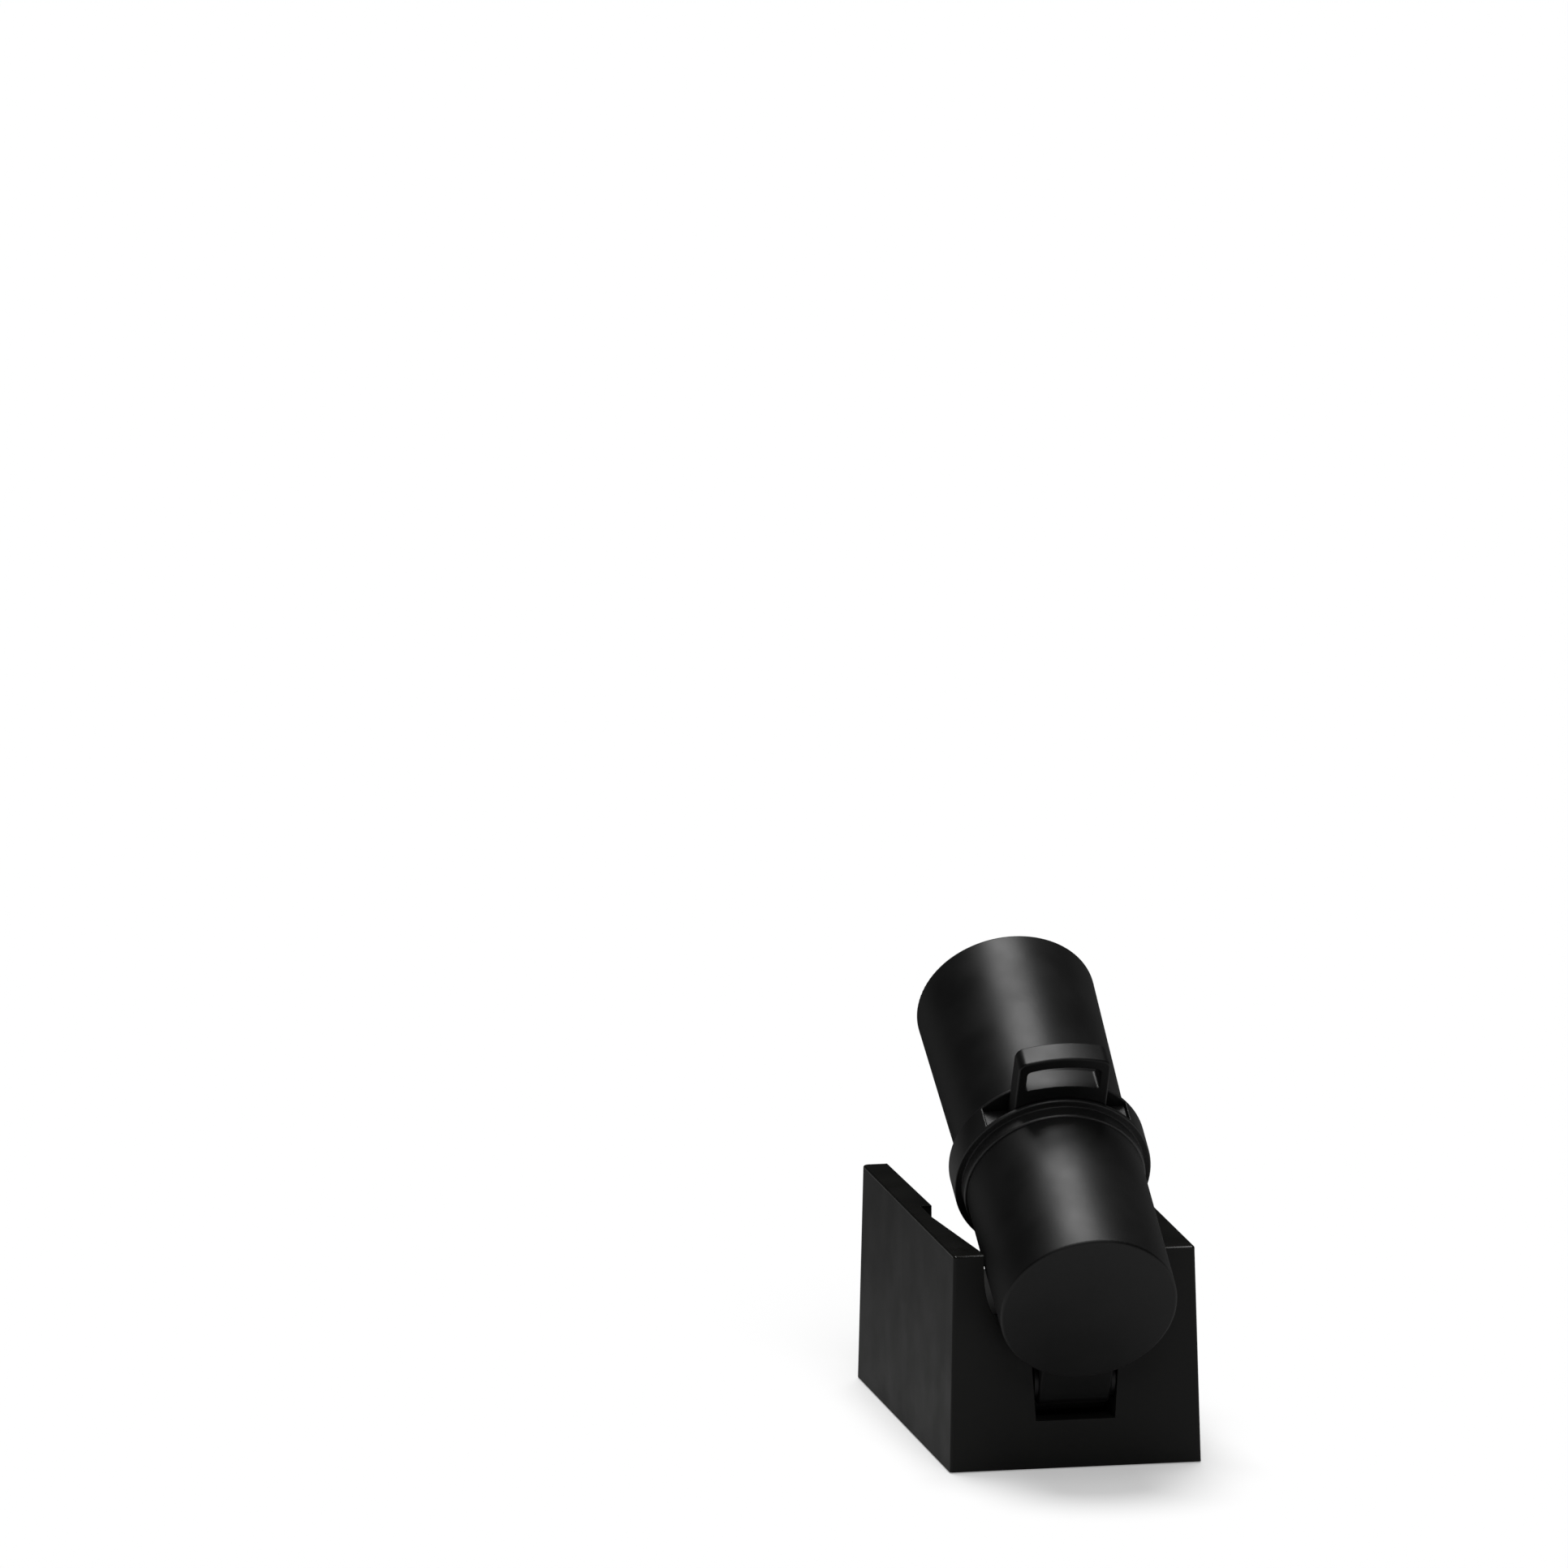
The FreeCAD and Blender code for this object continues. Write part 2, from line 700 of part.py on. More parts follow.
def slide_holder():
    """A round-bottomed frame with shoulders and a looped handle that stands above the collar."""
    y0, y1 = slide_faces()
    half = slot_width / 2 - holder_side_gap
    lower = rod_y(half, y0, y1).fuse(block(-half, half, y0, y1, 0, shoulder_height))
    handle = block(-handle_half_width, handle_half_width, y0, y1, 0, handle_top)
    handle = fillet_where(handle, handle_corner_radius, lambda edge: near(edge.BoundBox.ZMin, handle_top)
                          and near(edge.BoundBox.YLength, y1 - y0))
    handle = fillet_where(handle, handle_edge_radius, lambda edge: near(edge.BoundBox.YLength, 0)
                          and edge.BoundBox.ZMax > loop_bottom)
    loop = block(-loop_half_width, loop_half_width, y0 - overrun, y1 + overrun, loop_bottom, loop_top)
    loop = fillet_where(loop, loop_corner_radius,
                        lambda edge: near(edge.BoundBox.YLength, y1 - y0 + 2 * overrun))
    frame = lower.fuse(handle).cut(loop)
    frame = frame.cut(rod_y(picture_radius, y0 - overrun, y1 + overrun))
    return frame.cut(rod_y(film_radius + fit_gap, y1 - film_seat_depth, y1 + overrun)).removeSplitter()


def picture_film():
    seat = slide_faces()[1] - film_seat_depth
    return rod_y(film_radius, seat, seat + film_thickness)


def film_ring():
    seat = slide_faces()[1] - film_seat_depth + film_thickness
    return ring_y(film_radius, picture_radius, seat, seat + film_ring_thickness)


# The focusing barrel, in the head's own frame

def focus_barrel():
    """A tube that widens gently to the front, with a web inside that seats the lenses."""
    profile = [(collar_end, guide_bore_radius), (collar_end, barrel_rear_radius),
               (barrel_end, barrel_front_radius), (barrel_end, lens_bore_radius),
               (web_end, lens_bore_radius), (web_end, web_hole_radius),
               (web_start, web_hole_radius), (web_start, guide_bore_radius)]
    return fillet_where(turned(profile), barrel_edge_radius,
                        lambda edge: near(edge.BoundBox.YMin, barrel_end))


def lens_rim_radius():
    return lens_bore_radius - fit_gap


def rear_lens():
    rim_end = web_end + lens_rim_thickness
    rim = rod_y(lens_rim_radius(), web_end, rim_end)
    return rim.fuse(dome(web_end, web_hole_radius - fit_gap, -rear_lens_bulge)).removeSplitter()


def spacer_start():
    return web_end + lens_rim_thickness


def lens_spacer():
    return ring_y(lens_rim_radius(), lens_rim_radius() - lens_ring_wall, spacer_start(),
                  spacer_start() + lens_spacer_length)


def front_lens_start():
    return spacer_start() + lens_spacer_length


def front_lens():
    rim_end = front_lens_start() + lens_rim_thickness
    rim = rod_y(lens_rim_radius(), front_lens_start(), rim_end)
    dome_radius = lens_rim_radius() - lens_ring_wall - fit_gap
    return rim.fuse(dome(rim_end, dome_radius, front_lens_bulge)).removeSplitter()


def lens_ring():
    start = front_lens_start() + lens_rim_thickness
    return ring_y(lens_rim_radius(), lens_rim_radius() - lens_ring_wall, start, start + lens_ring_length)


base_pieces = [base_shell, base_cover, cover_screws, battery_cell, control_board, board_screws,
               charging_socket, push_switch, power_button, hinge_pin, hinge_washers]
head_pieces = [rear_shell, heat_sink, led_board, led_screws, led_emitter, light_sleeve, condenser_lens,
               collar_frame, friction_ring, slide_holder, picture_film, film_ring,
               focus_barrel, rear_lens, lens_spacer, front_lens, lens_ring]


def build():
    os.makedirs("parts", exist_ok=True)
    solids = [(maker.__name__, maker()) for maker in base_pieces]
    solids += [(maker.__name__, in_head(maker())) for maker in head_pieces]
    for name, shape in solids:
        shape.exportStep("parts/" + name + ".step")
        print(name, len(shape.Solids), "solid(s)", round(shape.Volume, 1), "mm3", shape.isValid())


build()
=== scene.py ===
import json
import math

import bmesh
import bpy
from mathutils import Matrix, Quaternion, Vector


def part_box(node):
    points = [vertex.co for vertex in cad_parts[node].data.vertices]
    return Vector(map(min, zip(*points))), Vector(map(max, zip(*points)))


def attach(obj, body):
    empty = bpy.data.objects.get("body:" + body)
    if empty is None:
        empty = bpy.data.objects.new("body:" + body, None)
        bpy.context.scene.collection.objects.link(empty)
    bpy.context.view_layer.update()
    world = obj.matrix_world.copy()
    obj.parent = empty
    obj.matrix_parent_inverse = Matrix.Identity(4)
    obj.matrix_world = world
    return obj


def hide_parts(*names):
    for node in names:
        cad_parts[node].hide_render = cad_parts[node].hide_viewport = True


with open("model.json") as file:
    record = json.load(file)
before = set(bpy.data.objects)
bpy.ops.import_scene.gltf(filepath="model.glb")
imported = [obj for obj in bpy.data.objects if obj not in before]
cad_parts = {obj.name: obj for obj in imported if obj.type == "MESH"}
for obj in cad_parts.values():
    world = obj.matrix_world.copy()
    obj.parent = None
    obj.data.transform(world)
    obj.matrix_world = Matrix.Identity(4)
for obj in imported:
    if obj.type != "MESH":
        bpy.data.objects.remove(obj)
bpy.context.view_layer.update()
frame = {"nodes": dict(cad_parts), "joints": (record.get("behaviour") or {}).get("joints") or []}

nodes = frame["nodes"]

# The camera
# It stands behind the lamp and a little to its left, a bit above the table, with a long lens.
# The foot of the cradle's rear wall is the known point that its place is reckoned from.
picture_side = 1932
pixels_per_metre = 7530.0
known_point = Vector((0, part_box("base_shell")[0].y, 0))
known_place = (1325.6, 1807.7)
camera_distance = 6.0
camera_azimuth = math.radians(-11.66)
camera_elevation = math.radians(12.23)
camera_roll = math.radians(-0.09)
sensor_side = 36.0
camera_sight = 100.0


def new_object(name, data):
    """An object in the scene that holds a mesh, a light or a camera."""
    thing = bpy.data.objects.new(name, data)
    bpy.context.scene.collection.objects.link(thing)
    return thing


backwards = Vector((math.sin(camera_azimuth) * math.cos(camera_elevation),
                    -math.cos(camera_azimuth) * math.cos(camera_elevation),
                    math.sin(camera_elevation)))
focal_pixels = pixels_per_metre * camera_distance
towards_known = Vector((known_place[0] - picture_side / 2, picture_side / 2 - known_place[1], -focal_pixels))
looking_at_known = (-backwards).to_track_quat("-Z", "Y") @ Quaternion((0, 0, 1), camera_roll)

camera_data = bpy.data.cameras.new("camera")
camera_data.sensor_width = sensor_side
camera_data.lens = focal_pixels * sensor_side / picture_side
camera_data.clip_end = camera_sight
camera = new_object("camera", camera_data)
camera.location = known_point + backwards * camera_distance
camera.rotation_mode = "QUATERNION"
camera.rotation_quaternion = looking_at_known @ towards_known.rotation_difference(Vector((0, 0, -1)))
bpy.context.scene.camera = camera
bpy.context.scene.view_settings.view_transform = "Standard"

# The table top, the softbox and the room
# A pale matt table in a dim room, under a long softbox, takes the lamp's shadow. The camera reads the
# table and the room as white. For the lamp the table's colour holds painted shade, darker ahead.
table_half_side = 4.0
table_drop = 0.0002
table_tone = 0.53
table_roughness = 0.9
table_lift = 0.31
painted_shade_start = 0.03
painted_shade_end = 0.2
painted_shade_share = 0.35
softbox_sideways = -0.032
softbox_spread = math.radians(30)
softbox_tilts_and_strengths = ((16.0, 2.65), (-10.0, 0.7), (-42.0, 1.1))
room_level = 0.015
plain_shine = 0.5
white = (1, 1, 1, 1)


def feed(node, inputs):
    """Feeds inputs of a node, each with a value or with another node's output."""
    for socket, value in inputs.items():
        if isinstance(value, bpy.types.NodeSocket):
            node.id_data.links.new(value, node.inputs[socket])
        else:
            node.inputs[socket].default_value = value


def add_node(tree, kind, inputs, **settings):
    """Adds a node with its settings, and feeds its inputs."""
    node = tree.nodes.new(kind)
    for setting, value in settings.items():
        setattr(node, setting, value)
    feed(node, inputs)
    return node


def new_output(tree, kind, output):
    """An output of a new node whose inputs are left as they are."""
    return tree.nodes.new(kind).outputs[output]


def outcome(tree, operation, *numbers):
    """What a sum makes of numbers or of other nodes' outputs."""
    return add_node(tree, "ShaderNodeMath", dict(enumerate(numbers)), operation=operation).outputs["Value"]


def spread_over(tree, value, span, ends):
    """Goes from one end to the other while a value goes through its span."""
    spread = add_node(tree, "ShaderNodeMapRange", {"Value": value, "From Min": span[0], "From Max": span[1],
                                                   "To Min": ends[0], "To Max": ends[1]})
    return spread.outputs["Result"]


def place_along(tree, axis):
    """Where a point of the piece lies along an axis."""
    place = new_output(tree, "ShaderNodeTexCoord", "Object")
    return add_node(tree, "ShaderNodeSeparateXYZ", {"Vector": place}).outputs[axis]


def shader_of(finish):
    """The one shader of a finish."""
    return finish.node_tree.nodes["Principled BSDF"]


def new_finish(name, colour, roughness, shine=plain_shine, metallic=0.0):
    """A material with one shader. Shine is the shader's specular level."""
    finish = bpy.data.materials.new(name)
    finish.use_nodes = True
    feed(shader_of(finish), {"Base Color": (*colour, 1), "Roughness": roughness,
                             "Specular IOR Level": shine, "Metallic": metallic})
    return finish


def table_paint():
    """Pale paint, white to the camera, clear from below, with painted shade that darkens it ahead."""
    paint = new_finish("table_paint", (table_tone, table_tone, table_tone), table_roughness, shine=0)
    tree = paint.node_tree
    seen_by_camera = new_output(tree, "ShaderNodeLightPath", "Is Camera Ray")
    # Painted shade: for all rays but the camera's, the colour falls off ahead, away from the softbox.
    painted_shade = spread_over(tree, place_along(tree, "Y"), (painted_shade_start, painted_shade_end), (1, painted_shade_share))
    tone = outcome(tree, "MULTIPLY", outcome(tree, "MAXIMUM", painted_shade, seen_by_camera), table_tone)
    lift = outcome(tree, "MULTIPLY", seen_by_camera, table_lift)
    feed(shader_of(paint), {"Base Color": tone, "Emission Color": white, "Emission Strength": lift})
    from_below = new_output(tree, "ShaderNodeNewGeometry", "Backfacing")
    clear = new_output(tree, "ShaderNodeBsdfTransparent", "BSDF")
    sides = add_node(tree, "ShaderNodeMixShader",
                     {0: from_below, 1: shader_of(paint).outputs["BSDF"], 2: clear})
    feed(tree.nodes["Material Output"], {"Surface": sides.outputs["Shader"]})
    return paint


def make_table_top():
    """One large square just below the lamp's underside."""
    mesh = bpy.data.meshes.new("table_top")
    corners = [(x * table_half_side, y * table_half_side, -table_drop)
               for x, y in ((-1, -1), (1, -1), (1, 1), (-1, 1))]
    mesh.from_pydata(corners, [], [(0, 1, 2, 3)])
    mesh.materials.append(table_paint())
    return new_object("table_top", mesh)


def hang_softbox(tilt, strength):
    """One stretch of the softbox, tilt degrees ahead of straight above the lamp."""
    light = bpy.data.lights.new("softbox", "SUN")
    light.energy = strength
    light.angle = softbox_spread
    towards_softbox = Vector((softbox_sideways, math.sin(math.radians(tilt)), math.cos(math.radians(tilt))))
    softbox = new_object("softbox", light)
    softbox.rotation_mode = "QUATERNION"
    softbox.rotation_quaternion = towards_softbox.to_track_quat("Z", "Y")


def make_room():
    """A room that is dim to the lamp, and white to the camera, also through glass."""
    room = bpy.data.worlds.new("room")
    room.use_nodes = True
    tree = room.node_tree
    seen_straight = new_output(tree, "ShaderNodeLightPath", "Is Camera Ray")
    seen_through = new_output(tree, "ShaderNodeLightPath", "Is Transmission Ray")
    seen = outcome(tree, "MAXIMUM", seen_straight, seen_through)
    strength = spread_over(tree, seen, (0, 1), (room_level, 1))
    feed(tree.nodes["Background"], {"Color": white, "Strength": strength})
    return room


for softbox_tilt, softbox_strength in softbox_tilts_and_strengths:
    hang_softbox(softbox_tilt, softbox_strength)
bpy.context.scene.world = make_room()
make_table_top()

# The cradle
# One moulding in black ABS with a fine spark-eroded texture. Its walls lean in a little so that it
# leaves the mould. The tops of its walls are smoother, because the mould was ground flat there.
cradle_colour = (0.0030, 0.0030, 0.0026)
cradle_roughness = 0.47
cradle_shine = 0.2
glancing_dullness = 0.3
glancing_power = 3.0
broken_edge = 0.00012
edge_samples = 4
eroded_grain = 0.00022
eroded_depth = 0.000006
tool_wave = 0.011
tool_wave_depth = 0.000014
smear_size = 0.009
smear_tone = 0.25
smear_dulling = 0.035
smooth_detail = 1.0
plain_detail = 2.0
fine_detail = 4.0
pattern_low = 0.35
pattern_high = 0.65
land_depth = 0.0003
land_edge = 0.0001
land_roughness_share = 0.45


def spots(tree, size, detail=plain_detail, stretch=(1, 1, 1)):
    """Soft spots about size metres across, fixed to the piece, drawn out where stretch is small."""
    place = new_output(tree, "ShaderNodeTexCoord", "Object")
    drawn = add_node(tree, "ShaderNodeMapping", {"Vector": place, "Scale": stretch})
    noise = add_node(tree, "ShaderNodeTexNoise", {"Vector": drawn.outputs["Vector"], "Scale": 1 / size,
                                                  "Detail": detail})
    return noise.outputs[0]


def ranged(tree, pattern, low, high):
    """Values between low and high, as a pattern of spots says."""
    return spread_over(tree, pattern, (pattern_low, pattern_high), (low, high))


def tinted(tree, pattern, dark, light):
    """Colours between dark and light, as a pattern of spots says."""
    ramp = add_node(tree, "ShaderNodeValToRGB", {"Fac": pattern})
    for element, place, colour in zip(ramp.color_ramp.elements, (pattern_low, pattern_high), (dark, light)):
        element.position = place
        element.color = (*colour, 1)
    return ramp.outputs["Color"]


def varied(finish, pattern, colour, tone, roughness, dulling):
    """Lets a pattern move a finish's colour and roughness up and down round their middle values."""
    tree = finish.node_tree
    dark = [channel * (1 - tone) for channel in colour]
    light = [channel * (1 + tone) for channel in colour]
    feed(shader_of(finish), {"Base Color": tinted(tree, pattern, dark, light),
                             "Roughness": ranged(tree, pattern, roughness - dulling, roughness + dulling)})


def spotted_finish(name, colour, tone, roughness, dulling, size, shine=plain_shine, metallic=0.0):
    """A finish whose soft spots differ a little in tone and in dullness."""
    finish = new_finish(name, colour, roughness, shine, metallic)
    varied(finish, spots(finish.node_tree, size, fine_detail), colour, tone, roughness, dulling)
    return finish


def add_relief(finish, pattern, depth):
    """Adds relief of the given depth in metres to what a finish's normal already has."""
    shader = shader_of(finish)
    bump = add_node(finish.node_tree, "ShaderNodeBump", {"Height": pattern, "Distance": depth, "Strength": 1})
    for link in shader.inputs["Normal"].links:
        feed(bump, {"Normal": link.from_socket})
    feed(shader, {"Normal": bump.outputs["Normal"]})


def add_grain(finish, size, depth, detail=plain_detail, stretch=(1, 1, 1)):
    """Adds relief of soft spots, about size metres across, to a finish."""
    add_relief(finish, spots(finish.node_tree, size, detail, stretch), depth)


def black_moulding(name, colour, roughness, shine, edge=broken_edge, dullness=glancing_dullness):
    """Black plastic as it leaves the mould: eroded grain, slow waves, and smears from handling.

    Dullness is how much rougher its grain looks at a glancing angle. Its sharp edges look rounded to
    a radius of edge metres.
    """
    finish = spotted_finish(name, colour, smear_tone, roughness, smear_dulling, smear_size, shine)
    tree = finish.node_tree
    shader = shader_of(finish)
    smeared = shader.inputs["Roughness"].links[0].from_socket
    glancing = outcome(tree, "POWER", new_output(tree, "ShaderNodeLayerWeight", "Facing"), glancing_power)
    rounding = add_node(tree, "ShaderNodeBevel", {"Radius": edge}, samples=edge_samples)
    feed(shader, {"Roughness": outcome(tree, "MULTIPLY_ADD", glancing, dullness, smeared),
                  "Normal": rounding.outputs["Normal"]})
    add_grain(finish, tool_wave, tool_wave_depth, smooth_detail)
    add_grain(finish, eroded_grain, eroded_depth)
    return finish


def cradle_moulding():
    """The cradle's black plastic, with the smooth land that runs along the tops of its walls."""
    finish = black_moulding("cradle_plastic", cradle_colour, cradle_roughness, cradle_shine)
    tree = finish.node_tree
    textured = shader_of(finish).inputs["Roughness"].links[0].from_socket
    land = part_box("base_shell")[1].z - land_depth
    share = spread_over(tree, place_along(tree, "Z"), (land - land_edge, land), (1, land_roughness_share))
    feed(shader_of(finish), {"Roughness": outcome(tree, "MULTIPLY", textured, share)})
    return finish


def dress(node_name, finish):
    """Gives a node of the frame its finish."""
    for place in nodes[node_name].material_slots:
        place.material = finish


dress("base_shell", cradle_moulding())

# The control board
# Green laminate with copper traces under its lacquer, hung from two posts under the cradle's floor by
# two small screws. Two chips, a coil and eight ceramic capacitors are soldered to its top.
board_lacquer = (0.012, 0.16, 0.055)
board_trace = (0.03, 0.26, 0.09)
board_roughness = 0.32
board_dulling = 0.06
trace_pitch = 0.0016
trace_length = 0.008
trace_width = 0.0003
trace_depth = 0.00003
epoxy_colour = (0.012, 0.012, 0.013)
epoxy_roughness = 0.5
epoxy_shine = 0.4
tin_colour = (0.66, 0.66, 0.64)
tin_tone = 0.1
tin_roughness = 0.28
tin_dulling = 0.08
ceramic_colour = (0.4, 0.27, 0.16)
ceramic_tone = 0.08
ceramic_roughness = 0.45
ceramic_dulling = 0.06
ceramic_grain = 0.0003
chips = ({"x": 0.0036, "y": 0.0069, "length": 0.005, "width": 0.0039, "height": 0.0015, "legs": 4},
         {"x": -0.0046, "y": 0.0066, "length": 0.0029, "width": 0.0016, "height": 0.0011, "legs": 3})
leg_pitch = 0.00118
leg_width = 0.0004
leg_reach = 0.001
leg_foot = 0.00055
leg_thickness = 0.00018
chip_edge = 0.00012
coil = {"x": -0.0014, "y": 0.0029, "length": 0.004, "width": 0.004, "height": 0.002}
coil_edge = 0.0005
rounding_steps = 2
capacitors_x_y = ((0.0082, 0.0052), (0.0082, 0.0068), (0.0082, 0.0084), (-0.008, 0.0058), (-0.008, 0.0074),
                  (-0.0014, 0.0086), (0.0036, 0.0018), (0.0062, 0.0018))
capacitor_length = 0.0016
capacitor_width = 0.0008
capacitor_height = 0.0007
capacitor_end = 0.00035
capacitor_end_stands_out = 0.00003
smooth_below = math.radians(30)
screw_colour = (0.55, 0.56, 0.58)
screw_tone = 0.05
screw_roughness = 0.3
screw_dulling = 0.05
screw_grain = 0.0006
lathe_lines = (1, 1, 14)


def lacquered_board():
    """Green lacquer over traces that stand up a little."""
    finish = new_finish("board_laminate", board_lacquer, board_roughness)
    tree = finish.node_tree
    place = new_output(tree, "ShaderNodeTexCoord", "Object")
    traces = add_node(tree, "ShaderNodeTexBrick",
                      {"Vector": place, "Color1": (*board_lacquer, 1), "Color2": (*board_lacquer, 1),
                       "Mortar": (*board_trace, 1), "Scale": 1, "Mortar Size": trace_width,
                       "Brick Width": trace_length, "Row Height": trace_pitch})
    roughness = ranged(tree, spots(tree, trace_pitch), board_roughness - board_dulling,
                       board_roughness + board_dulling)
    feed(shader_of(finish), {"Base Color": traces.outputs["Color"], "Roughness": roughness})
    add_relief(finish, traces.outputs["Fac"], trace_depth)
    return finish


def show_piece(name, shape, finish, body):
    """Turns a finished shape into a piece that rides on a body, smooth but for its real edges."""
    mesh = bpy.data.meshes.new(name)
    bmesh.ops.recalc_face_normals(shape, faces=shape.faces)
    shape.to_mesh(mesh)
    shape.free()
    mesh.shade_smooth()
    mesh.set_sharp_from_angle(angle=smooth_below)
    mesh.materials.append(finish)
    piece = new_object(name, mesh)
    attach(piece, body)
    return piece


def add_bar(shape, low, high):
    """Adds a bar between two corners to a mesh."""
    middle = (low + high) / 2
    size = high - low
    bmesh.ops.create_cube(shape, size=1, matrix=Matrix.Translation(middle) @ Matrix.Diagonal((*size, 1)))


board_low, board_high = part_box("control_board")


def on_board(x, y):
    """A place on the board's top, x from its middle and y from its rear edge."""
    return Vector(((board_low.x + board_high.x) / 2 + x, board_low.y + y, board_high.z))


def add_moulded_block(shape, block, edge):
    """Adds a chip's or a coil's body, its corners rounded off."""
    foot = on_board(block["x"], block["y"])
    half = Vector((block["length"] / 2, block["width"] / 2, 0))
    rise = Vector((0, 0, block["height"]))
    body = bmesh.new()
    add_bar(body, foot - half, foot + half + rise)
    bmesh.ops.bevel(body, geom=body.edges[:], offset=edge, segments=rounding_steps, affect="EDGES")
    mesh = bpy.data.meshes.new("body")
    body.to_mesh(mesh)
    body.free()
    shape.from_mesh(mesh)
    bpy.data.meshes.remove(mesh)


def board_blocks():
    """The chips and the coil, all in black epoxy."""
    shape = bmesh.new()
    for chip in chips:
        add_moulded_block(shape, chip, chip_edge)
    add_moulded_block(shape, coil, coil_edge)
    return shape


def add_leg(shape, chip, number, side):
    """Adds one bent leg, from halfway up the chip's side down to its foot on the board."""
    foot = on_board(chip["x"] + (number - (chip["legs"] - 1) / 2) * leg_pitch, chip["y"])
    start = chip["width"] / 2 - leg_thickness
    high = chip["height"] / 2
    bend = start + leg_reach - leg_foot
    end = start + leg_reach
    outline = [(start, high), (bend, high), (bend + leg_thickness, leg_thickness), (end, leg_thickness),
               (end, 0), (bend, 0), (bend - leg_thickness, high - leg_thickness),
               (start, high - leg_thickness)]
    rows = [[shape.verts.new(foot + Vector((across, side * out, up))) for out, up in outline]
            for across in (-leg_width / 2, leg_width / 2)]
    for row in rows:
        shape.faces.new(row)
    for corner in range(len(outline)):
        following = (corner + 1) % len(outline)
        shape.faces.new((rows[0][corner], rows[0][following], rows[1][following], rows[1][corner]))


def capacitor_corners():
    """The lowest and highest corner of each capacitor."""
    half = Vector((capacitor_length / 2, capacitor_width / 2, 0))
    rise = Vector((0, 0, capacitor_height))
    return [(on_board(x, y) - half, on_board(x, y) + half + rise) for x, y in capacitors_x_y]


def board_solder():
    """The chips' legs, and the capacitors' tinned ends, which stand out all round."""
    shape = bmesh.new()
    for chip in chips:
        for number in range(chip["legs"]):
            for side in (-1, 1):
                add_leg(shape, chip, number, side)
    stands_out = Vector((0, capacitor_end_stands_out, 0))
    for low, high in capacitor_corners():
        add_bar(shape, low - stands_out, Vector((low.x + capacitor_end, high.y, high.z)) + stands_out)
        add_bar(shape, Vector((high.x - capacitor_end, low.y, low.z)) - stands_out, high + stands_out)
    return shape


def board_capacitors():
    """The ceramic between the capacitors' ends."""
    shape = bmesh.new()
    inwards = Vector((capacitor_end, 0, 0))
    sunk = Vector((0, 0, capacitor_end_stands_out))
    for low, high in capacitor_corners():
        add_bar(shape, low + inwards, high - inwards - sunk)
    return shape


zinc_plate = spotted_finish("screw_steel", screw_colour, screw_tone, screw_roughness, screw_dulling,
                            screw_grain, metallic=1)
add_grain(zinc_plate, screw_grain, eroded_depth, stretch=lathe_lines)
black_epoxy = black_moulding("board_epoxy", epoxy_colour, epoxy_roughness, epoxy_shine)
tinned_copper = spotted_finish("board_tin", tin_colour, tin_tone, tin_roughness, tin_dulling,
                               ceramic_grain, metallic=1)
fired_ceramic = spotted_finish("board_ceramic", ceramic_colour, ceramic_tone, ceramic_roughness,
                               ceramic_dulling, ceramic_grain)
dress("control_board", lacquered_board())
dress("board_screws", zinc_plate)
show_piece("board_chips", board_blocks(), black_epoxy, "cradle")
show_piece("board_solder", board_solder(), tinned_copper, "cradle")
show_piece("board_capacitors", board_capacitors(), fired_ceramic, "cradle")

# The charging socket
# A drawn shell of nickel-plated steel, pushed into the front wall's window and soldered to the board.
# Gold-plated contacts lie in a row on both faces of its tongue.
socket_colour = (0.62, 0.62, 0.6)
socket_tone = 0.08
socket_roughness = 0.22
socket_dulling = 0.06
socket_grain = 0.0009
contact_colour = (0.78, 0.55, 0.2)
contact_tone = 0.1
contact_roughness = 0.25
contact_dulling = 0.08
contact_count = 12
contact_pitch = 0.0005
contact_width = 0.00028
contact_length = 0.0036
contact_thickness = 0.00006
contact_set_back = 0.0006
tongue_thickness = 0.0007
tongue_set_back = 0.0015


def contact_rows():
    """The contacts on both faces of the tongue, which end a little behind its tip."""
    low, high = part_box("charging_socket")
    middle = (low + high) / 2
    front = high.y - tongue_set_back - contact_set_back
    shape = bmesh.new()
    for face in (-1, 1):
        inner = middle.z + face * tongue_thickness / 2
        outer = inner + face * contact_thickness
        for number in range(contact_count):
            x = middle.x + (number - (contact_count - 1) / 2) * contact_pitch
            add_bar(shape, Vector((x - contact_width / 2, front - contact_length, min(inner, outer))),
                    Vector((x + contact_width / 2, front, max(inner, outer))))
    return shape


nickel_plate = spotted_finish("socket_steel", socket_colour, socket_tone, socket_roughness,
                              socket_dulling, socket_grain, metallic=1)
add_grain(nickel_plate, socket_grain, eroded_depth)
gold_plate = spotted_finish("contact_gold", contact_colour, contact_tone, contact_roughness,
                            contact_dulling, contact_pitch, metallic=1)
dress("charging_socket", nickel_plate)
show_piece("socket_contacts", contact_rows(), gold_plate, "cradle")

# The push switch and the power button
# The switch is a small moulded block soldered to the board. The button is a turned cap of smooth dark
# plastic that slides in the front wall and presses the switch's plunger.
switch_colour = (0.012, 0.012, 0.013)
switch_roughness = 0.45
button_colour = (0.016, 0.016, 0.017)
button_roughness = 0.3
button_shine = 0.4

dress("push_switch", black_moulding("switch_plastic", switch_colour, switch_roughness, button_shine))
dress("power_button", black_moulding("button_plastic", button_colour, button_roughness, button_shine))

# The rechargeable cell
# A flat pouch in silver foil, creased by the wrapping, with a band of amber tape round its front end.
# It lies on the cover between two ribs.
foil_colour = (0.56, 0.57, 0.58)
foil_roughness = 0.3
foil_metal = 0.7
foil_dulling = 0.05
foil_crease = 0.006
foil_crease_depth = 0.00012
foil_stretch = (1, 0.4, 1)
tape_colour = (0.72, 0.42, 0.06)
tape_width = 0.004


